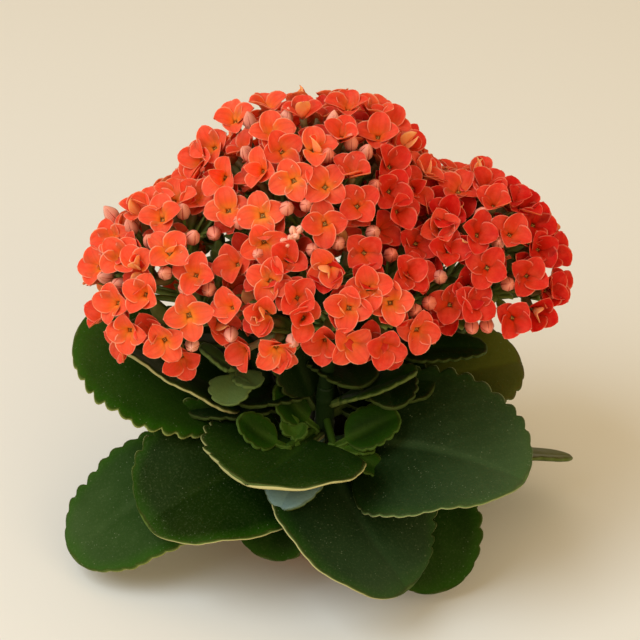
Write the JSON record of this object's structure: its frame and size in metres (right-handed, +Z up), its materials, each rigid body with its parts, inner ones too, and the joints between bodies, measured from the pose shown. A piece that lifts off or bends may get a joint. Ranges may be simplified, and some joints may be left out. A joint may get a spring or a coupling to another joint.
{
  "type": "potted kalanchoe",
  "caption": "Compact flowering succulent: broad scalloped leaves and a domed mass of four-petalled florets on branched stalks, in a low round clay pot that stands flat.",
  "frame": {"origin": "centre of the pot's flat underside, on the surface that it stands on", "axes": "+Z up, the way the plant grows; -Y is the front, with the two broadest leaves; +X to the right"},
  "size_m": [0.1811, 0.164, 0.1657],
  "materials": {
    "clay": "matte",
    "soil": "matte",
    "stem": "satin",
    "leaf": "satin",
    "petal": "matte"
  },
  "bodies": {
    "root": {"pot": "clay", "soil": "soil", "stem_left": "stem", "stem_middle": "stem", "stem_right": "stem", "stem_front": "stem", "stem_back_left": "stem", "stem_back_right": "stem", "leaf_right_broad": "leaf", "leaf_front_left_broad": "leaf", "leaf_left_low": "leaf", "leaf_left_high_rear": "leaf", "leaf_left_high": "leaf", "leaf_front_bowl": "leaf", "leaf_front_low": "leaf", "leaf_right_low": "leaf", "leaf_front_under": "leaf", "leaf_right_high": "leaf", "leaf_right_rear_low": "leaf", "leaf_back_right_low": "leaf", "leaf_back_low": "leaf", "leaf_back_left_low": "leaf", "leaf_back_right_high": "leaf", "leaf_back_left_high": "leaf", "leaf_front_high": "leaf", "leaf_middle_front": "leaf", "leaf_right_top": "leaf", "leaf_front_small": "leaf", "sprig_front_left": "leaf", "sprig_front_right": "leaf", "sprig_left": "leaf", "flower_head_left": "petal", "flower_head_middle": "petal", "flower_head_right": "petal", "flower_head_front": "petal", "flower_head_back_left": "petal", "flower_head_back_right": "petal"}
  },
  "joints": []
}
